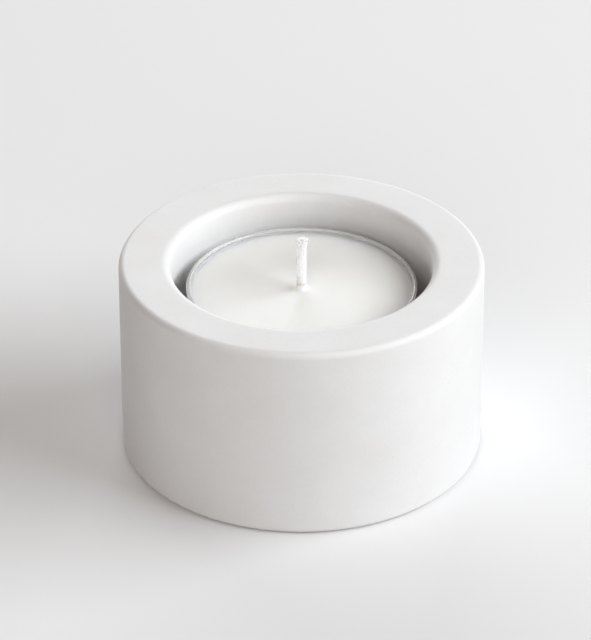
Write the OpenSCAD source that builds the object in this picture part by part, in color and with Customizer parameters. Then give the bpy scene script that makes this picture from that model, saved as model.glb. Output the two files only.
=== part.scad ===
// Cast concrete holder for one tealight, with the tealight standing in its recess.
// Millimetres, +Z up, origin on the supporting surface at the centre of the foot.

/* [Holder body] */
// Outside diameter of the cast body
body_d = 60; // [54:0.5:70]
// Height of the top face above the supporting surface
body_h = 34; // [31:0.5:42]
// Depth of the tealight recess below the top face
recess_depth = 22; // [19:0.5:25]
// Rounding of the outer top edge
rim_round = 1.1; // [0.5:0.1:2.5]
// Rounding of the recess lip
lip_round = 1.5; // [0.5:0.1:2.5]
// Rounding of the outer bottom edge
foot_round = 0.8; // [0.2:0.1:1.5]
// Hollow rounding between the recess wall and its floor
recess_corner = 1.2; // [0.5:0.1:1.8]

/* [Base pad] */
// Diameter of the felt pad
pad_d = 50; // [40:0.5:51]
// Thickness of the felt
pad_t = 1.2; // [0.9:0.1:2]
// How far the felt stands out of its seat
pad_proud = 0.1; // [0.05:0.05:0.7]
// Break of the felt's cut edge
pad_edge = 0.15; // [0.05:0.05:0.2]

/* [Tealight cup] */
// Outside diameter over the rim bead
cup_d = 38; // [34:0.5:42]
// Height from the foot ring to the top of the rim
cup_h = 17.3; // [15:0.1:20]
// Thickness of the moulded wall
cup_wall = 0.5; // [0.35:0.05:0.5]
// Thickness of the moulded floor
cup_floor = 0.6; // [0.4:0.05:1]
// Lean of the wall from upright, in degrees
cup_draft = 1.5; // [0.5:0.25:3]
// Width of the round bead along the rim
bead_d = 0.6; // [0.6:0.05:1]
// Outside rounding between the wall and the floor
cup_corner = 1.6; // [1.2:0.1:2.5]
// Width of the ring that the cup stands on
foot_ring_w = 2; // [1:0.1:4]
// Height of that ring below the cup's floor
foot_ring_h = 0.4; // [0.2:0.05:0.8]

/* [Wax] */
// Distance of the flat wax below the top of the rim
wax_below_rim = 0.8; // [0.7:0.05:2]
// How far the wax climbs up the cup's wall
wall_meniscus = 0.4; // [0.2:0.05:0.5]
// How far the wax climbs up the wick
wick_meniscus = 0.7; // [0.3:0.05:1.2]
// Blunt edge left where the wax thins out
wax_edge = 0.12; // [0.08:0.02:0.2]

/* [Wick] */
// Diameter of the braid
wick_d = 1.8; // [1.2:0.1:2.4]
// Length of the wick above the flat wax
wick_above = 9.4; // [5:0.2:14]
// How far the cut end spreads beyond the braid
wick_spread = 0.25; // [0.1:0.05:0.5]
// Length over which it spreads
wick_spread_l = 2.4; // [1:0.1:4]

/* [Wick sustainer] */
// Diameter of the pressed disc
disc_d = 13; // [10:0.5:18]
// Thickness of the sheet, also of the drawn neck
sheet_t = 0.3; // [0.2:0.05:0.45]
// Height of the neck that grips the wick
neck_h = 4; // [3:0.25:6]
// Radius of the drawn root of the neck
neck_root = 0.7; // [0.5:0.05:1]
// Distance of the crimp below the top of the neck
crimp_drop = 1.1; // [0.8:0.1:1.5]
// Radius of the jaw that dents the neck
crimp_jaw = 0.5; // [0.3:0.05:0.8]
// Depth of each dent
crimp_depth = 0.1; // [0.04:0.02:0.14]

/* [Fits] */
// Gap between the tealight's rim and the recess wall
recess_clearance = 2.5; // [1.5:0.1:4]
// Gap around the felt pad in its seat
pad_clearance = 0.3; // [0.1:0.05:0.6]
// Gap that the wax leaves to the cup as it cools
wax_shrink = 0.1; // [0.05:0.05:0.3]
// Gap around the wick in the neck and in the wax
wick_clearance = 0.05; // [0.03:0.01:0.1]
// Gap around the sustainer in the wax
cast_clearance = 0.05; // [0.03:0.01:0.1]

/* [Hidden] */
$fn = 96;
// Overlap that carries a cut clear through a face
over = 1;

body_r = body_d / 2;
recess_r = cup_d / 2 + recess_clearance;
recess_floor = body_h - recess_depth;

lean = tan(cup_draft);
bead_z = cup_h - bead_d / 2;
bead_r = cup_d / 2 - bead_d / 2;
cavity_rim_r = cup_d / 2 - bead_d;
cup_base_r = cavity_rim_r + cup_wall / cos(cup_draft) - lean * bead_z;
floor_z = foot_ring_h + cup_floor;
cavity_corner = cup_corner - cup_wall;
cavity_base_r = cavity_rim_r - lean * (bead_z - floor_z);
foot_flat_r = drafted_corner_x(cup_base_r, cup_corner);

wax_h = cup_h - wax_below_rim - floor_z;
wax_base_r = cavity_base_r - wax_shrink / cos(cup_draft);
wick_r = wick_d / 2;
bore_r = wick_r + wick_clearance;
wick_l = wax_h + wick_above;
neck_r = bore_r + sheet_t;

// Centre of the corner arc that touches both the base and the leaning wall
function drafted_corner_x(base_r, corner) = base_r + lean * corner - corner / cos(cup_draft);

// Waste outside a rounded corner at the origin, whose material lies towards +X and +Y
module corner_waste(r) {
    difference() {
        translate([-over, -over])
            square(r + over);
        translate([r, r])
            circle(r);
    }
}

// Material in a hollow corner at the origin, whose open side lies towards +X and +Y
module corner_fill(r) {
    difference() {
        square(r);
        translate([r, r])
            circle(r);
    }
}

// Half section of a cup-shaped solid: flat base, round base corner and a leaning wall
module drafted_section(base_r, h, corner) {
    corner_x = drafted_corner_x(base_r, corner);
    touch_x = corner_x + corner * cos(cup_draft);
    touch_z = corner - corner * sin(cup_draft);
    polygon([[0, 0], [corner_x, 0], [touch_x, touch_z], [base_r + lean * h, h], [0, h]]);
    translate([corner_x, corner])
        circle(corner);
}

// Half section of the bead, which stands out from the wall and leaves the inside straight
module rim_bead() {
    translate([bead_r, bead_z])
        circle(d = bead_d);
}

// Half section of the sustainer's outside, grown by a clearance
module sustainer_section(grow) {
    root = neck_root - grow;
    square([disc_d / 2 + grow, sheet_t + grow]);
    square([neck_r + grow, neck_h + grow]);
    translate([neck_r + grow, sheet_t + grow])
        corner_fill(root);
}

// Everything that stands in the recess is drawn from the recess floor up
module in_recess() {
    translate([0, 0, recess_floor])
        children();
}

// Everything inside the cup is drawn from the cup's floor up
module in_cup() {
    in_recess()
        translate([0, 0, floor_z])
            children();
}

// Cast body: one revolved section with the recess, its rounded edges and the pad's seat
module holder_body() {
    color([0.92, 0.92, 0.93])
        rotate_extrude()
            difference() {
                union() {
                    translate([0, pad_proud])
                        square([body_r, recess_floor - pad_proud]);
                    translate([recess_r, pad_proud])
                        square([body_r - recess_r, body_h - pad_proud]);
                    translate([recess_r, recess_floor])
                        mirror([1, 0])
                            corner_fill(recess_corner);
                }
                translate([body_r, body_h])
                    rotate(180)
                        corner_waste(rim_round);
                translate([recess_r, body_h])
                    mirror([0, 1])
                        corner_waste(lip_round);
                translate([body_r, pad_proud])
                    mirror([1, 0])
                        corner_waste(foot_round);
                translate([0, -over])
                    square([pad_d / 2 + pad_clearance, pad_t + over]);
            }
}

// Felt disc seated in the underside
module base_pad() {
    color([0.55, 0.54, 0.52])
        rotate_extrude()
            polygon([
                [0, 0],
                [pad_d / 2 - pad_edge, 0],
                [pad_d / 2, pad_edge],
                [pad_d / 2, pad_t],
                [0, pad_t]
            ]);
}

// Clear moulded cup: thin leaning wall, round rim bead, round base corner and foot ring
module tealight_cup() {
    color([0.95, 0.97, 0.98, 0.4])
        in_recess()
            rotate_extrude()
                difference() {
                    union() {
                        drafted_section(cup_base_r, bead_z, cup_corner);
                        rim_bead();
                    }
                    difference() {
                        translate([0, floor_z])
                            drafted_section(cavity_base_r, cup_h, cavity_corner);
                        rim_bead();
                    }
                    translate([0, -over])
                        square([foot_flat_r - foot_ring_w, foot_ring_h + over]);
                }
}

// Wax cast in the cup round the wick and its sustainer
module wax_fill() {
    dish_r = wax_base_r + lean * wax_h - wax_edge;
    collar_r = bore_r + wax_edge;
    color([0.95, 0.95, 0.92])
        in_cup()
            rotate_extrude()
                difference() {
                    union() {
                        difference() {
                            drafted_section(wax_base_r, wax_h + wall_meniscus, cavity_corner);
                            translate([0, wax_h])
                                square([dish_r, wall_meniscus + over]);
                        }
                        translate([dish_r, wax_h])
                            mirror([1, 0])
                                corner_fill(wall_meniscus);
                        square([collar_r, wax_h + wick_meniscus]);
                        translate([collar_r, wax_h])
                            corner_fill(wick_meniscus);
                    }
                    square([bore_r, wax_h + wick_meniscus + over]);
                    sustainer_section(cast_clearance);
                }
}

// Cotton wick, spread a little at its cut end
module wick() {
    color([0.97, 0.97, 0.96])
        in_cup()
            rotate_extrude()
                polygon([
                    [0, 0],
                    [wick_r, 0],
                    [wick_r, wick_l - wick_spread_l],
                    [wick_r + wick_spread, wick_l - wick_spread],
                    [wick_r, wick_l],
                    [0, wick_l]
                ]);
}

// Pressed disc with a drawn neck that is crimped onto the wick from four sides
module wick_sustainer() {
    color([0.75, 0.76, 0.78])
        in_cup()
            difference() {
                rotate_extrude()
                    difference() {
                        sustainer_section(0);
                        square([bore_r, neck_h + over]);
                        translate([bore_r, 0])
                            corner_waste(sheet_t);
                    }
                for (side = [0 : 90 : 270])
                    rotate(side)
                        translate([neck_r + crimp_jaw - crimp_depth, 0, neck_h - crimp_drop])
                            rotate([90, 0, 0])
                                cylinder(r = crimp_jaw, h = 2 * neck_r, center = true);
            }
}

holder_body();
base_pad();
tealight_cup();
wax_fill();
wick();
wick_sustainer();
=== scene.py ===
# %% [markdown]
# # A cast concrete tealight holder
# The object is a low round holder cast in pale concrete, with a tealight standing in its recess.
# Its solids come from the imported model, which is the fixed frame here: it gives every size and place.
# This lesson builds a finer mesh for each piece that the eye comes close to, and gives every piece the
# finish of its real material.

# %% Load the frame
import math
import random

import bmesh
import bpy
from mathutils import Matrix, Vector, noise


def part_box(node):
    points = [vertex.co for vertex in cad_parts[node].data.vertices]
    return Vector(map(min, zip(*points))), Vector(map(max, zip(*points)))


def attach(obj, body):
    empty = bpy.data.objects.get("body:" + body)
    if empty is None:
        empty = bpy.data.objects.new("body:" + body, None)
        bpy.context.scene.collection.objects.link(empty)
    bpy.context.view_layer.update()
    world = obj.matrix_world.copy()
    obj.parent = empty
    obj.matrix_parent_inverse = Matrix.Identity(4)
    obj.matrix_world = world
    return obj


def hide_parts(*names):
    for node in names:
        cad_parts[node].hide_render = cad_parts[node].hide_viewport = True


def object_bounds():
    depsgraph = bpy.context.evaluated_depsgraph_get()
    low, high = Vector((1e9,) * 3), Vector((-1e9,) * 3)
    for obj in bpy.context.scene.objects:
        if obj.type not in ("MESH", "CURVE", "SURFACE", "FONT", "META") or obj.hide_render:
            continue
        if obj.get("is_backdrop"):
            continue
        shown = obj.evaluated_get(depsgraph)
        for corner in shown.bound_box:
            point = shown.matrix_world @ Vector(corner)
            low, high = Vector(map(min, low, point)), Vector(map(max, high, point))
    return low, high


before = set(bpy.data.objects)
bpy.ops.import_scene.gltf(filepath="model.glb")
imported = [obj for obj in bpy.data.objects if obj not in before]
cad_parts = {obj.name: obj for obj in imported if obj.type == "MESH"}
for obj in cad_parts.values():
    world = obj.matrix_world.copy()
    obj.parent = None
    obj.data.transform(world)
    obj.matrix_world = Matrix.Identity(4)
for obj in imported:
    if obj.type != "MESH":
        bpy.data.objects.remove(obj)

MM = 0.001
cad_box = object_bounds()
print("nodes:", sorted(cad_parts))

# %% [markdown]
# Colours are written as the hex values that a colour picker shows. The shader wants linear light, so
# one function turns one into the other. A second one adds a shader node with its settings and links.

# %% Colour and node helpers
def hex_to_linear(code):
    """An sRGB hex colour such as "EDEDEE" as linear red, green, blue and alpha."""
    parts = [int(code[i:i + 2], 16) / 255 for i in (0, 2, 4)]
    return [c / 12.92 if c <= 0.04045 else ((c + 0.055) / 1.055) ** 2.4 for c in parts] + [1.0]


def add_node(tree, kind, inputs=None, **settings):
    """One new shader node, with its properties set and its inputs filled with values or links."""
    node = tree.nodes.new(kind)
    for name, value in settings.items():
        setattr(node, name, value)
    for key, value in (inputs or {}).items():
        if isinstance(value, bpy.types.NodeSocket):
            tree.links.new(value, node.inputs[key])
        else:
            node.inputs[key].default_value = value
    return node


def new_material(name):
    """A new material with its node tree and its Principled shader."""
    material = bpy.data.materials.new(name)
    material.use_nodes = True
    return material, material.node_tree, material.node_tree.nodes["Principled BSDF"]


# %% [markdown]
# Nearly everything here is round, so nearly every mesh starts as a half section: a few corners in the
# XZ plane, joined by edges, with a vertex bevel where the real edge is rounded. A full spin about the
# upright axis makes the solid, as a lathe would. A finished mesh is merged, turned outwards and handed
# over at the origin, where the CAD nodes sit too, and rides on its body.

# %% Modelling helpers
MERGE_DISTANCE = 0.002 * MM


def draw_section(corners, arc_steps):
    """A wire half section from (radius, height, rounding) corners."""
    bm = bmesh.new()
    verts = [bm.verts.new((radius, 0, height)) for radius, height, rounding in corners]
    for start, end in zip(verts, verts[1:]):
        bm.edges.new((start, end))
    for vert, (radius, height, rounding) in zip(verts, corners):
        if rounding:
            bmesh.ops.bevel(bm, geom=[vert], offset=rounding, offset_type="OFFSET", segments=arc_steps,
                            profile=0.5, affect="VERTICES", material=-1)
    return bm


def divide_long_edges(bm, longest):
    """Cuts every edge that is longer than this into equal lengths."""
    for edge in list(bm.edges):
        cuts = math.ceil(edge.calc_length() / longest) - 1
        if cuts > 0:
            bmesh.ops.subdivide_edges(bm, edges=[edge], cuts=cuts)


def spin_round(bm, steps):
    """Turns the half section once round the upright axis and closes the seam and the poles."""
    bmesh.ops.spin(bm, geom=bm.verts[:] + bm.edges[:], cent=(0, 0, 0), axis=(0, 0, 1),
                   dvec=(0, 0, 0), angle=math.tau, steps=steps, use_merge=True)
    bmesh.ops.remove_doubles(bm, verts=bm.verts, dist=MERGE_DISTANCE)
    bmesh.ops.recalc_face_normals(bm, faces=bm.faces)


def finish_piece(bm, name, material, body, stands_for):
    """Hands a bmesh over as a piece that rides on its body in place of a CAD node."""
    mesh = bpy.data.meshes.new(name)
    bm.to_mesh(mesh)
    bm.free()
    mesh.shade_smooth()
    mesh.materials.append(material)
    piece = bpy.data.objects.new(name, mesh)
    piece.modifiers.new("flat faces shade flat", "WEIGHTED_NORMAL")
    bpy.context.scene.collection.objects.link(piece)
    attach(piece, body)
    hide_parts(stands_for)
    print(name, "faces:", len(mesh.polygons), "mm:", [round(d / MM, 2) for d in piece.dimensions])
    return piece


# %% [markdown]
# The camera looks from the photograph's viewpoint. Its distance, angle and lens come from the outline
# of the body and of the tealight's rim. It is aimed a little above the middle of the body, so the picture
# needs no lens shift.

# %% Camera
LENS = 211.9
AIM = Vector((-1.0, 0.0, 22.4)) * MM
CAMERA_DISTANCE = 622.7 * MM
CAMERA_ANGLE = math.radians(30.97)

camera_data = bpy.data.cameras.new("camera")
camera_data.sensor_width = 36.0
camera_data.lens = LENS
camera_data.clip_start = 0.01
camera = bpy.data.objects.new("camera", camera_data)
away = Vector((0, -math.cos(CAMERA_ANGLE), math.sin(CAMERA_ANGLE)))
camera.location = Vector((0, 0, AIM.z)) + away * CAMERA_DISTANCE
camera.rotation_euler = (AIM - camera.location).to_track_quat("-Z", "Y").to_euler()
bpy.context.scene.collection.objects.link(camera)
bpy.context.scene.camera = camera
print("camera mm:", [round(c / MM, 1) for c in camera.location])

# %% [markdown]
# A plain pale floor carries the object. It looks pale to the camera, but throws back a little less light
# than it shows, so that the lower part of the body keeps its shade. A Light Path node tells the two
# apart: the camera, mirrors and clear plastic see the pale tone, and all other rays the darker one.

# %% Floor
FLOOR_SIZE = 8.0

floor_shape = bmesh.new()
bmesh.ops.create_grid(floor_shape, x_segments=1, y_segments=1, size=FLOOR_SIZE / 2)
floor_mesh = bpy.data.meshes.new("floor")
floor_shape.to_mesh(floor_mesh)
floor_shape.free()
floor = bpy.data.objects.new("floor", floor_mesh)
bpy.context.scene.collection.objects.link(floor)
floor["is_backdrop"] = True

floor_card, floor_tree, floor_shader = new_material("pale floor")
ray = add_node(floor_tree, "ShaderNodeLightPath").outputs
mirrored = add_node(floor_tree, "ShaderNodeMath", {0: ray["Is Camera Ray"], 1: ray["Is Glossy Ray"]})
seen = add_node(floor_tree, "ShaderNodeMath", {0: mirrored.outputs[0], 1: ray["Is Transmission Ray"]},
                use_clamp=True)
floor_tone = add_node(floor_tree, "ShaderNodeMix", {"Factor": seen.outputs[0]}, data_type="RGBA")
floor_tone.inputs["A"].default_value = hex_to_linear("CDCCCB")
floor_tone.inputs["B"].default_value = hex_to_linear("EDEDEE")
floor_tree.links.new(floor_tone.outputs["Result"], floor_shader.inputs["Base Color"])
floor_shader.inputs["Roughness"].default_value = 0.9
floor_mesh.materials.append(floor_card)
print("floor m:", [round(d, 1) for d in floor.dimensions])

# %% [markdown]
# The light is a usual set of three soft lamps. The main one stands on the right, like a wide window. It
# shapes the body and throws the shadow to the left. A low one behind lights the level faces at a grazing
# angle, and a weak one behind the camera fills the shade. The first two are a little cool, as daylight
# is, and the world is a faint warm fill for what no lamp reaches. Together they make a neutral white,
# and no side of the pale body gets so much light that it burns out.

# %% Light
LAMP_DISTANCE = 1.5
DAYLIGHT = (0.955, 1.0, 1.03)
PLAIN_LIGHT = (1.0, 1.0, 1.0)


def hang_lamp(name, tint, width, height, power, bearing, elevation):
    """A soft rectangular lamp aimed at the object. Bearing 0 is the right, 90 the camera's side."""
    data = bpy.data.lights.new(name, "AREA")
    data.shape = "RECTANGLE"
    data.size = width
    data.size_y = height
    data.energy = power
    data.color = tint
    lamp = bpy.data.objects.new(name, data)
    turn = math.radians(-bearing)
    rise = math.radians(elevation)
    lamp.location = LAMP_DISTANCE * Vector((
        math.cos(rise) * math.cos(turn),
        math.cos(rise) * math.sin(turn),
        math.sin(rise),
    ))
    lamp.rotation_euler = (math.pi / 2 - rise, 0, turn + math.pi / 2)
    bpy.context.scene.collection.objects.link(lamp)
    print(name, "mm:", [round(c / MM) for c in lamp.location])


hang_lamp("window lamp", DAYLIGHT, width=1.6, height=0.65, power=23.0, bearing=5, elevation=36)
hang_lamp("back lamp", DAYLIGHT, width=1.15, height=0.4, power=14.4, bearing=258, elevation=14)
hang_lamp("front lamp", PLAIN_LIGHT, width=1.0, height=0.65, power=7.4, bearing=94, elevation=29)

world = bpy.data.worlds.new("warm fill")
world.use_nodes = True
bpy.context.scene.world = world
fill = world.node_tree.nodes["Background"]
fill.inputs["Color"].default_value = hex_to_linear("FFE9D6")
fill.inputs["Strength"].default_value = 0.18
bpy.context.scene.view_settings.view_transform = "Standard"

# %% [markdown]
# The body is cast in one piece, in a smooth mould. Its section runs from the middle of the recess
# floor up over the lip, across the top, down the side and under the foot, into the seat of the felt.
# A spin of that section gives true round edges, which carry most of the light in the picture.

# %% Concrete body
RECESS_GAP = 2.5 * MM
RECESS_CORNER = 1.2 * MM
LIP_ROUND = 1.5 * MM
RIM_ROUND = 1.1 * MM
FOOT_ROUND = 0.8 * MM
SEAT_GAP = 0.3 * MM
CAST_GRID = 0.75 * MM
ROUND_STEPS = 256

body_low, body_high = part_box("holder_body")
pad_low, pad_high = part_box("base_pad")
cup_low, cup_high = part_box("tealight_cup")
recess_radius = cup_high.x + RECESS_GAP
seat_radius = pad_high.x + SEAT_GAP

cast = draw_section([
    (0, cup_low.z, 0),
    (recess_radius, cup_low.z, RECESS_CORNER),
    (recess_radius, body_high.z, LIP_ROUND),
    (body_high.x, body_high.z, RIM_ROUND),
    (body_high.x, body_low.z, FOOT_ROUND),
    (seat_radius, body_low.z, 0),
    (seat_radius, pad_high.z, 0),
    (0, pad_high.z, 0),
], arc_steps=8)
divide_long_edges(cast, CAST_GRID)
spin_round(cast, ROUND_STEPS)
print("cast faces:", len(cast.faces))

# %% [markdown]
# However smooth the mould, air bubbles leave pinholes in cast concrete. They are few and small here,
# but they are real hollows, so they are modelled: a vertex of the grid is bevelled to a small diamond,
# its corners are cut to an octagon, and the octagon is inset and pushed in twice to make a bowl. A
# flat inset first keeps the shading of the wall around it clean.

# %% Pinholes
PINHOLE_SEED = 7
# How many pinholes there are of each radius.
PINHOLES = {0.07 * MM: 34, 0.1 * MM: 22, 0.14 * MM: 10, 0.19 * MM: 5}
PINHOLE_ROOM = 0.45 * MM
RECESS_BAND = 1 * MM
OCTAGON_CUT = 0.41
# The inset and the depth of each step into a pit, as shares of its radius.
PIT_STEPS = ((0.12, 0), (0.2, 0.5), (0.3, 0.3))


def sink_pinholes(bm, spots, radius):
    """Turns vertices of the grid into shallow round pits of one size."""
    diamonds = bmesh.ops.bevel(bm, geom=spots, offset=radius, offset_type="OFFSET", segments=1,
                               profile=0.5, affect="VERTICES", material=-1)["faces"]
    corners = list(dict.fromkeys(vert for face in diamonds for vert in face.verts))
    cut = bmesh.ops.bevel(bm, geom=corners, offset=radius * OCTAGON_CUT, offset_type="OFFSET", segments=1,
                          profile=0.5, affect="VERTICES", material=-1)
    touched = dict.fromkeys(face for vert in cut["verts"] for face in vert.link_faces)
    square = (2 * radius) ** 2
    octagons = [face for face in touched if len(face.verts) == 8 and face.calc_area() < square]
    for share, depth in PIT_STEPS:
        bmesh.ops.inset_individual(bm, faces=octagons, thickness=radius * share, depth=-radius * depth)
    return len(octagons)


rng = random.Random(PINHOLE_SEED)
smooth_spots = [
    v.co.copy() for v in cast.verts
    if len(v.link_edges) == 4 and min(e.calc_length() for e in v.link_edges) > PINHOLE_ROOM
    and v.co.z > body_low.z + 2 * FOOT_ROUND and v.co.xy.length > recess_radius - RECESS_BAND
]
rng.shuffle(smooth_spots)
for radius, number in PINHOLES.items():
    chosen = {tuple(smooth_spots.pop()) for _ in range(number)}
    spots = [v for v in cast.verts if tuple(v.co) in chosen]
    print("pinholes of", round(radius / MM, 2), "mm:", sink_pinholes(cast, spots, radius))

# %% [markdown]
# White cement with fine sand, cast against a smooth mould and sealed: matt, very pale and almost even.
# Close to, it has faint cloudy patches about a centimetre wide, and a fine sandy grain. Both stay weak,
# because the real surface is nearly plain.

# %% Cast concrete
CLOUD_WIDTH = 11 * MM
SAND_GRAIN = 0.45 * MM


def cast_concrete():
    material, tree, shader = new_material("cast white concrete")
    place = add_node(tree, "ShaderNodeTexCoord").outputs["Object"]
    clouds = add_node(tree, "ShaderNodeTexNoise",
                      {"Vector": place, "Scale": 1 / CLOUD_WIDTH, "Detail": 4.0, "Roughness": 0.55})
    sand = add_node(tree, "ShaderNodeTexNoise",
                    {"Vector": place, "Scale": 1 / SAND_GRAIN, "Detail": 3.0, "Roughness": 0.6})
    tone = add_node(tree, "ShaderNodeMix", data_type="RGBA")
    spread = add_node(tree, "ShaderNodeMapRange",
                      {"Value": clouds.outputs["Fac"], "From Min": 0.3, "From Max": 0.7})
    tree.links.new(spread.outputs["Result"], tone.inputs["Factor"])
    tone.inputs["A"].default_value = hex_to_linear("EBEAEA")
    tone.inputs["B"].default_value = hex_to_linear("EFEFF0")
    grain = add_node(tree, "ShaderNodeMapRange",
                     {"Value": sand.outputs["Fac"], "From Min": 0.3, "From Max": 0.7, "To Min": 0.972})
    speckled = add_node(tree, "ShaderNodeMix", data_type="RGBA", blend_type="MULTIPLY")
    speckled.inputs["Factor"].default_value = 1.0
    tree.links.new(tone.outputs["Result"], speckled.inputs["A"])
    tree.links.new(grain.outputs["Result"], speckled.inputs["B"])
    tree.links.new(speckled.outputs["Result"], shader.inputs["Base Color"])
    bump = add_node(tree, "ShaderNodeBump",
                    {"Height": sand.outputs["Fac"], "Strength": 0.25, "Distance": 0.03 * MM})
    tree.links.new(bump.outputs["Normal"], shader.inputs["Normal"])
    shader.inputs["Roughness"].default_value = 0.72
    shader.inputs["IOR"].default_value = 1.5
    return material


finish_piece(cast, "concrete_body", cast_concrete(), "holder", "holder_body")

# %% [markdown]
# A disc of pressed felt is glued into the seat under the foot and stands a little proud of it, so that
# the concrete doesn't scratch a table. It is cut from sheet, so its edge is nearly square and its face
# is never quite flat. The disc is spun like the body, on a finer grid, and a noise presses its points
# in by some hundredths of a millimetre.

# %% Felt pad
FELT_EDGE = 0.15 * MM
FELT_GRID = 0.6 * MM
FELT_HOLLOWS = 0.06 * MM
FELT_LUMP = 1.1 * MM
# Fall-off, growth and number of the noise's octaves.
FELT_NOISE = (0.8, 2.0, 3)
FELT_STEPS = 180

felt_disc = draw_section([
    (0, pad_high.z, 0),
    (pad_high.x, pad_high.z, 0),
    (pad_high.x, pad_low.z, FELT_EDGE),
    (0, pad_low.z, 0),
], arc_steps=4)
divide_long_edges(felt_disc, FELT_GRID)
spin_round(felt_disc, FELT_STEPS)
for vert in felt_disc.verts:
    hollow = 0.5 + 0.5 * noise.fractal(vert.co / FELT_LUMP, *FELT_NOISE)
    vert.co -= vert.normal * FELT_HOLLOWS * min(max(hollow, 0), 1)
print("felt faces:", len(felt_disc.faces))

# %% [markdown]
# Wool felt has no weave: its fibres lie tangled in every direction. Two noises, each drawn out along
# one axis, cross each other and give short streaks. A real fibre is a few hundredths of a millimetre
# thick, so the streaks are drawn about five times as coarse, to show at all. A little sheen stands for
# the fibre ends that stand up.

# %% Pressed felt
FIBRE_WIDTH = 0.22 * MM
FIBRE_LENGTH = 1.6 * MM


def pressed_felt():
    material, tree, shader = new_material("pressed grey wool felt")
    place = add_node(tree, "ShaderNodeTexCoord").outputs["Object"]
    streaks = []
    for turn in (25, 115):
        laid = add_node(tree, "ShaderNodeMapping", {
            "Vector": place,
            "Rotation": (0, 0, math.radians(turn)),
            "Scale": (1 / FIBRE_LENGTH, 1 / FIBRE_WIDTH, 1 / FIBRE_WIDTH),
        })
        streaks.append(add_node(tree, "ShaderNodeTexNoise", {
            "Vector": laid.outputs["Vector"], "Scale": 1.0, "Detail": 3.0, "Distortion": 1.2,
        }).outputs["Fac"])
    tangle = add_node(tree, "ShaderNodeMath", {0: streaks[0], 1: streaks[1]}, operation="MAXIMUM")
    lit = add_node(tree, "ShaderNodeMapRange",
                   {"Value": tangle.outputs[0], "From Min": 0.42, "From Max": 0.72})
    tone = add_node(tree, "ShaderNodeMix", {"Factor": lit.outputs["Result"]}, data_type="RGBA")
    tone.inputs["A"].default_value = hex_to_linear("787571")
    tone.inputs["B"].default_value = hex_to_linear("A6A39F")
    tree.links.new(tone.outputs["Result"], shader.inputs["Base Color"])
    raised = add_node(tree, "ShaderNodeBump",
                      {"Height": tangle.outputs[0], "Strength": 0.8, "Distance": 0.12 * MM})
    tree.links.new(raised.outputs["Normal"], shader.inputs["Normal"])
    shader.inputs["Roughness"].default_value = 0.95
    shader.inputs["Sheen Weight"].default_value = 0.25
    shader.inputs["Sheen Roughness"].default_value = 0.6
    return material


felt_pad = finish_piece(felt_disc, "felt_pad", pressed_felt(), "holder", "base_pad")

# %% [markdown]
# The tealight's cup is moulded in clear plastic: a thin leaning wall, a round bead along the rim that
# stiffens it, and a ring below that it stands on. Its section goes along the inside, over the bead and
# back along the outside, so the spin gives both faces of the wall. Glass-clear plastic has to be a
# closed shell like this, or the light would bend at only one of its faces.

# %% Clear cup
CUP_WALL = 0.5 * MM
CUP_FLOOR = 0.6 * MM
CUP_LEAN = math.tan(math.radians(1.5))
BEAD = 0.6 * MM
BEAD_ROUND = 0.49 * BEAD
CUP_CORNER = 1.6 * MM
FOOT_RING_WIDTH = 2.0 * MM
FOOT_RING_HEIGHT = 0.4 * MM
EDGE_BREAK = 0.1 * MM
CUP_GRID = 2 * MM

inner_floor = cup_low.z + FOOT_RING_HEIGHT + CUP_FLOOR
bead_middle = cup_high.z - BEAD / 2
inner_rim = cup_high.x - BEAD
inner_base = inner_rim - CUP_LEAN * (bead_middle - inner_floor)
outer_rim = inner_rim + CUP_WALL
outer_base = outer_rim - CUP_LEAN * (bead_middle - cup_low.z)
ring_inside = outer_base - CUP_CORNER - FOOT_RING_WIDTH

shell = draw_section([
    (0, inner_floor, 0),
    (inner_base, inner_floor, CUP_CORNER - CUP_WALL),
    (inner_rim, bead_middle, 0),
    (inner_rim, cup_high.z, BEAD_ROUND),
    (cup_high.x, cup_high.z, BEAD_ROUND),
    (cup_high.x, bead_middle - BEAD / 4, EDGE_BREAK),
    (outer_rim - CUP_LEAN * BEAD, bead_middle - BEAD, EDGE_BREAK),
    (outer_base, cup_low.z, CUP_CORNER),
    (ring_inside, cup_low.z, EDGE_BREAK),
    (ring_inside, cup_low.z + FOOT_RING_HEIGHT, EDGE_BREAK),
    (0, cup_low.z + FOOT_RING_HEIGHT, 0),
], arc_steps=8)
divide_long_edges(shell, CUP_GRID)
spin_round(shell, ROUND_STEPS)
print("cup faces:", len(shell.faces))

# %% [markdown]
# Clear polycarbonate bends light a little more than glass, with an index of 1.585. A cheap cup is a
# little hazy from its mould: part of the light goes straight through, and the rest is scattered, so the
# rim looks pale against the shade behind it. A slow noise makes the haze uneven, as it is in the hand.

# %% Clear polycarbonate
MOULD_RIPPLE = 4 * MM


def clear_plastic():
    material, tree, shader = new_material("clear moulded polycarbonate")
    place = add_node(tree, "ShaderNodeTexCoord").outputs["Object"]
    ripple = add_node(tree, "ShaderNodeTexNoise",
                      {"Vector": place, "Scale": 1 / MOULD_RIPPLE, "Detail": 2.0})
    haze = add_node(tree, "ShaderNodeMapRange",
                    {"Value": ripple.outputs["Fac"], "To Min": 0.16, "To Max": 0.26})
    tree.links.new(haze.outputs["Result"], shader.inputs["Roughness"])
    shader.inputs["Base Color"].default_value = hex_to_linear("FBFBFA")
    shader.inputs["Transmission Weight"].default_value = 0.55
    shader.inputs["IOR"].default_value = 1.585
    return material


finish_piece(shell, "clear_cup", clear_plastic(), "tealight", "tealight_cup")

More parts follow.
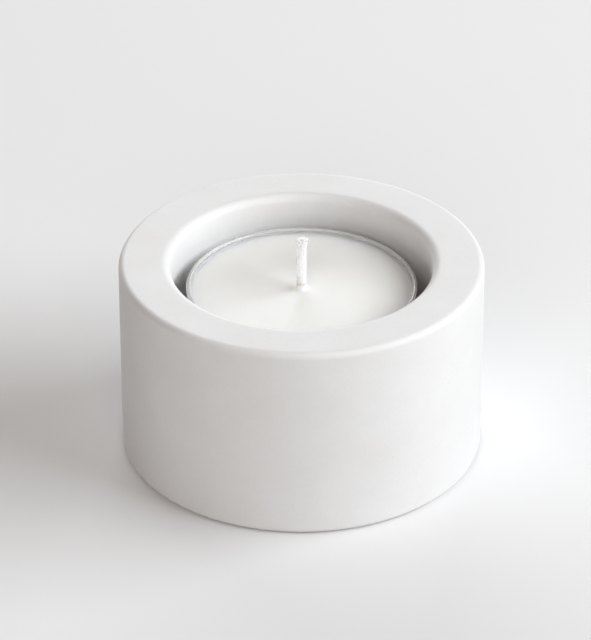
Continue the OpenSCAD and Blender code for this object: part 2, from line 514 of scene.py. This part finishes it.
# %% [markdown]
# The wax was poured round the wick and set in the cup. It wets both, so it climbs a little at the wall
# and more at the wick, and no air is left behind the clear wall. To show that, it is drawn a hair's
# breadth into the plastic: a gap would mirror the light and make the rim look dark. The braid is soaked
# with wax right through, so the wax is drawn solid to the axis and the wick simply stands in it: light
# can then wander through the collar, where the inside of a bore would swallow it. Underneath, the wax
# has the hollow that the sustainer fills. The top gets a gentle swell, because wax never sets as flat
# as water.

# %% Wax
WAX_BELOW_RIM = 0.8 * MM
WETTING = 0.03 * MM
WAX_EDGE = 0.12 * MM
COLLAR_HEIGHT = 1.2 * MM
COLLAR_TUCK = 0.05 * MM
COLLAR_FOOT = 0.1 * MM
COLLAR_ROUND = 0.3 * MM
WALL_CLIMB = 0.4 * MM
WALL_ROUND = 0.98 * WALL_CLIMB
WICK_GAP = 0.05 * MM
WICK_RADIUS = 0.9 * MM
SHEET = 0.3 * MM
NECK_ROOT = 0.7 * MM
WAX_SWELL = 0.07 * MM
SWELL_WIDTH = 9 * MM
DISH_BAND = 0.2 * MM
WAX_GRID = 0.8 * MM
WAX_STEPS = 200

wax_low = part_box("wax_fill")[0]
disc_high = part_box("wick_sustainer")[1]
wax_level = cup_high.z - WAX_BELOW_RIM
wax_base = inner_base + WETTING
wall_top = wax_level + WALL_CLIMB
collar_top = wax_level + COLLAR_HEIGHT
wax_rim = wax_base + CUP_LEAN * (wall_top - inner_floor)
dish = wax_base + CUP_LEAN * (wax_level - inner_floor) - WAX_EDGE
neck = WICK_RADIUS + SHEET + 2 * WICK_GAP

poured = draw_section([
    (0, collar_top, 0),
    (WICK_RADIUS - COLLAR_TUCK, collar_top, 0),
    (WICK_RADIUS + COLLAR_FOOT, wax_level, COLLAR_ROUND),
    (dish, wax_level, WALL_ROUND),
    (dish, wall_top, 0),
    (wax_rim, wall_top, 0),
    (wax_base, wax_low.z, CUP_CORNER - CUP_WALL),
    (disc_high.x + WICK_GAP, wax_low.z, 0),
    (disc_high.x + WICK_GAP, wax_low.z + SHEET + WICK_GAP, 0),
    (neck, wax_low.z + SHEET + WICK_GAP, NECK_ROOT - WICK_GAP),
    (neck, disc_high.z + WICK_GAP, 0),
    (0, disc_high.z + WICK_GAP, 0),
], arc_steps=8)
divide_long_edges(poured, WAX_GRID)
spin_round(poured, WAX_STEPS)
for vert in poured.verts:
    if vert.co.z > wax_level - DISH_BAND and vert.co.xy.length < dish:
        vert.co.z += WAX_SWELL * noise.noise(vert.co / SWELL_WIDTH)
print("wax faces:", len(poured.faces))

# %% [markdown]
# Poured candle wax is milky: light goes in, scatters for a few millimetres and comes out again, which
# softens the shadows on it. Subsurface scattering does that. The light that comes back is a little
# yellower than what went in. The skin has a soft sheen, and faint cloudy patches where it set at
# different speeds.

# %% Poured wax
WAX_CLOUD = 5 * MM
WAX_SKIN = 1.3 * MM
WAX_REACH = 3 * MM


def poured_wax():
    material, tree, shader = new_material("poured white candle wax")
    place = add_node(tree, "ShaderNodeTexCoord").outputs["Object"]
    cloud = add_node(tree, "ShaderNodeTexNoise",
                     {"Vector": place, "Scale": 1 / WAX_CLOUD, "Detail": 3.0, "Roughness": 0.5})
    tone = add_node(tree, "ShaderNodeMix", {"Factor": cloud.outputs["Fac"]}, data_type="RGBA")
    tone.inputs["A"].default_value = hex_to_linear("F6F5F0")
    tone.inputs["B"].default_value = hex_to_linear("FAF9F5")
    tree.links.new(tone.outputs["Result"], shader.inputs["Base Color"])
    skin = add_node(tree, "ShaderNodeTexNoise", {"Vector": place, "Scale": 1 / WAX_SKIN, "Detail": 3.0})
    uneven = add_node(tree, "ShaderNodeBump",
                      {"Height": skin.outputs["Fac"], "Strength": 0.15, "Distance": 0.05 * MM})
    tree.links.new(uneven.outputs["Normal"], shader.inputs["Normal"])
    shader.inputs["Subsurface Weight"].default_value = 1.0
    shader.inputs["Subsurface Radius"].default_value = (1.0, 0.95, 0.85)
    shader.inputs["Subsurface Scale"].default_value = WAX_REACH
    shader.inputs["Roughness"].default_value = 0.5
    shader.inputs["IOR"].default_value = 1.44
    return material


finish_piece(poured, "wax", poured_wax(), "tealight", "wax_fill")

# %% [markdown]
# The wick is a round braid: sixteen cotton yarns, eight of them wound one way and eight the other way,
# each going over one and under the next, on a core of nine straight yarns. Every yarn of the braid is
# itself twisted from three plies. A curve is the natural tool for a yarn, because only its path has to
# be worked out and its bevel gives it a round body. At the cut end the braid opens and the yarns spread
# like a small brush.

# %% Yarn paths
CARRIERS = 8
BRAID_PITCH = 8.4 * MM
BRAID_MIDDLE = 0.62 * MM
BRAID_WAVE = 0.045 * MM
PLIES = 3
PLY_OFFSET = 0.1 * MM
PLY_PITCH = 1.8 * MM
FRAY_LENGTH = 2.4 * MM

wick_low, wick_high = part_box("wick")
wick_length = wick_high.z - wick_low.z
print("wick mm:", round(wick_length / MM, 2), "turns of a yarn:", round(wick_length / BRAID_PITCH, 1))


def opened(height):
    """How far the cut end has opened at this height, from 0 to 1."""
    return max(0, 1 - (wick_length - height) / FRAY_LENGTH) ** 2


def ply_path(start_angle, way, spread, ply):
    """The path of one ply of a braided yarn, as a function of the height."""
    def place(height):
        turn = start_angle + way * math.tau * height / BRAID_PITCH
        over = way * BRAID_WAVE * math.cos(CARRIERS * math.tau * height / BRAID_PITCH)
        outward = Vector((math.cos(turn), math.sin(turn), 0))
        around = Vector((-math.sin(turn), math.cos(turn), 0))
        twist = math.tau * (height / PLY_PITCH + ply / PLIES)
        middle = outward * (BRAID_MIDDLE + over + spread * opened(height))
        return middle + PLY_OFFSET * (outward * math.cos(twist) + around * math.sin(twist))
    return place


def core_path(radius, angle, spread):
    """The path of a straight yarn of the core."""
    outward = Vector((math.cos(angle), math.sin(angle), 0))
    return lambda height: outward * (radius + spread * opened(height))


# %% [markdown]
# All strands go into one curve object, whose bevel depth is the radius of a ply. The yarns of the core
# are thicker, which is a larger radius on their points. Scissors never cut a braid quite level, so a
# seeded random number shortens and spreads every yarn a little differently.

# %% Wick strands
PLY_RADIUS = 0.14 * MM
PLY_CUT_SHARE = 0.2
CORE_YARNS = 8
CORE_MIDDLE = 0.3 * MM
CORE_THICKNESS = 1.7
PATH_STEP = 0.2 * MM
FRAY_SPREAD = (0.28 * MM, 0.38 * MM)
FRAY_CUT = 0.16 * MM
TIP_THICKNESS = 0.85
WICK_SEED = 4

wick_rng = random.Random(WICK_SEED)
braid = bpy.data.curves.new("wick braid", "CURVE")
braid.dimensions = "3D"
braid.bevel_depth = PLY_RADIUS
braid.bevel_resolution = 1
braid.use_fill_caps = True


def lay_strand(path, top, thickness):
    """One strand of the curve, from the foot of the wick to this height, with a blunt tip."""
    steps = int(top / PATH_STEP)
    strand = braid.splines.new("POLY")
    strand.points.add(steps)
    for step, point in enumerate(strand.points):
        height = PLY_RADIUS / 2 + (top - PLY_RADIUS) * step / steps
        place = path(height)
        point.co = (place.x, place.y, wick_low.z + height, 1)
        point.radius = thickness * (TIP_THICKNESS if step == steps else 1)


for carrier in range(2 * CARRIERS):
    spread = wick_rng.uniform(*FRAY_SPREAD)
    cut = wick_rng.uniform(0, FRAY_CUT)
    for ply in range(PLIES):
        path = ply_path(math.tau * (carrier // 2) / CARRIERS, 1 if carrier % 2 else -1, spread, ply)
        lay_strand(path, wick_length - cut - wick_rng.uniform(0, PLY_CUT_SHARE) * FRAY_CUT, thickness=1)
lay_strand(core_path(0, 0, 0), wick_length, CORE_THICKNESS)
for yarn in range(CORE_YARNS):
    path = core_path(CORE_MIDDLE, math.tau * yarn / CORE_YARNS, wick_rng.uniform(*FRAY_SPREAD))
    lay_strand(path, wick_length - wick_rng.uniform(0, FRAY_CUT), CORE_THICKNESS)
yarns = bpy.data.objects.new("wick braid", braid)
strand_mesh = bpy.data.meshes.new_from_object(yarns)
bpy.data.objects.remove(yarns)
print("strands:", len(braid.splines), "faces:", len(strand_mesh.polygons))

# %% [markdown]
# So far the strands are tubes that run into each other, and light that enters one of them would be lost
# in the next. In a real braid the fibres are pressed together, and light wanders through all of it. A
# voxel remesh melts the tubes into one closed skin. Its voxels can't be finer than a tenth of a
# millimetre in metres, so the strands are blown up a thousand times for it and then brought back.
# Smoothing rounds off the steps of the voxels and leaves the soft ridges of the yarns.

# %% One skin for the wick
# In the blown-up size, where a unit is a millimetre.
MELT_VOXEL = 0.05
SOFTENING = 20

strand_mesh.transform(Matrix.Scale(1 / MM, 4))
strands = bpy.data.objects.new("wick strands", strand_mesh)
bpy.context.scene.collection.objects.link(strands)
melt = strands.modifiers.new("melt together", "REMESH")
melt.mode = "VOXEL"
melt.voxel_size = MELT_VOXEL
wick = bmesh.new()
wick.from_object(strands, bpy.context.evaluated_depsgraph_get())
bpy.data.objects.remove(strands)
bmesh.ops.scale(wick, vec=(MM, MM, MM), verts=wick.verts)
for _ in range(SOFTENING):
    bmesh.ops.smooth_vert(wick, verts=wick.verts, factor=0.5,
                          use_axis_x=True, use_axis_y=True, use_axis_z=True)
print("faces of the skin:", len(wick.faces))

# %% [markdown]
# Bleached cotton is white and quite matt. A thin dry braid lets light wander right through it, so the
# reach of the scattering is long and the tone is written a little greyer than it looks. Near the wax
# the braid has drawn some of it up, which turns it creamier and a little glossier. The reach is short
# there, because light that wandered down into the wax would be lost.

# %% Bleached cotton
FLECK = 0.3 * MM
WAXED_HEIGHT = 2 * MM
WAXED_REACH = 0.3 * MM
DRY_REACH = 8 * MM


def bleached_cotton():
    material, tree, shader = new_material("bleached braided cotton")
    place = add_node(tree, "ShaderNodeTexCoord").outputs["Object"]
    height = add_node(tree, "ShaderNodeSeparateXYZ", {"Vector": place}).outputs["Z"]
    dry = add_node(tree, "ShaderNodeMapRange",
                   {"Value": height, "From Min": collar_top, "From Max": collar_top + WAXED_HEIGHT})
    flecks = add_node(tree, "ShaderNodeTexNoise", {"Vector": place, "Scale": 1 / FLECK, "Detail": 2.0})
    tone = add_node(tree, "ShaderNodeMix", {"Factor": dry.outputs["Result"]}, data_type="RGBA")
    tone.inputs["A"].default_value = hex_to_linear("F6F5F0")
    tone.inputs["B"].default_value = hex_to_linear("DCDCDB")
    shade = add_node(tree, "ShaderNodeMapRange", {"Value": flecks.outputs["Fac"], "To Min": 0.97})
    flecked = add_node(tree, "ShaderNodeMix", data_type="RGBA", blend_type="MULTIPLY")
    flecked.inputs["Factor"].default_value = 1.0
    tree.links.new(tone.outputs["Result"], flecked.inputs["A"])
    tree.links.new(shade.outputs["Result"], flecked.inputs["B"])
    tree.links.new(flecked.outputs["Result"], shader.inputs["Base Color"])
    gloss = add_node(tree, "ShaderNodeMapRange",
                     {"Value": dry.outputs["Result"], "To Min": 0.55, "To Max": 0.9})
    tree.links.new(gloss.outputs["Result"], shader.inputs["Roughness"])
    shader.inputs["Subsurface Weight"].default_value = 1.0
    shader.inputs["Subsurface Radius"].default_value = (1.0, 1.0, 1.0)
    reach = add_node(tree, "ShaderNodeMapRange",
                     {"Value": dry.outputs["Result"], "To Min": WAXED_REACH, "To Max": DRY_REACH})
    tree.links.new(reach.outputs["Result"], shader.inputs["Subsurface Scale"])
    return material


finish_piece(wick, "cotton_wick", bleached_cotton(), "tealight", "wick")

# %% [markdown]
# The sustainer is pressed from tin-plated sheet. Its solid already has the drawn neck, the crimp and
# the rounded root, so the CAD node stays and only gets its finish. Rolled tinplate is a bright metal
# with a faint grain in the direction of rolling.

# %% Tinplate
ROLLING_WIDTH = 0.15 * MM
ROLLING_LENGTH = 6 * MM


def rolled_tinplate():
    material, tree, shader = new_material("rolled tinplate")
    place = add_node(tree, "ShaderNodeTexCoord").outputs["Object"]
    along = add_node(tree, "ShaderNodeMapping", {
        "Vector": place,
        "Scale": (1 / ROLLING_LENGTH, 1 / ROLLING_WIDTH, 1 / ROLLING_WIDTH),
    })
    grain = add_node(tree, "ShaderNodeTexNoise",
                     {"Vector": along.outputs["Vector"], "Scale": 1.0, "Detail": 3.0})
    tone = add_node(tree, "ShaderNodeMix", {"Factor": grain.outputs["Fac"]}, data_type="RGBA")
    tone.inputs["A"].default_value = hex_to_linear("C6C7C8")
    tone.inputs["B"].default_value = hex_to_linear("DADBDC")
    tree.links.new(tone.outputs["Result"], shader.inputs["Base Color"])
    polish = add_node(tree, "ShaderNodeMapRange",
                      {"Value": grain.outputs["Fac"], "To Min": 0.24, "To Max": 0.42})
    tree.links.new(polish.outputs["Result"], shader.inputs["Roughness"])
    shader.inputs["Metallic"].default_value = 1.0
    return material


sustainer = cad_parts["wick_sustainer"]
sustainer.data.materials.clear()
sustainer.data.materials.append(rolled_tinplate())
print("sustainer mm:", [round(d / MM, 2) for d in sustainer.dimensions])

# %% [markdown]
# The finer meshes must not make the object larger than its solids. The two boxes are written down side
# by side, so that they can be compared.

# %% Size
boxes = {"cad": cad_box, "visual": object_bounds()}
for name, (low, high) in boxes.items():
    print(name, "box mm:", [round(c / MM, 2) for c in low], [round(c / MM, 2) for c in high])
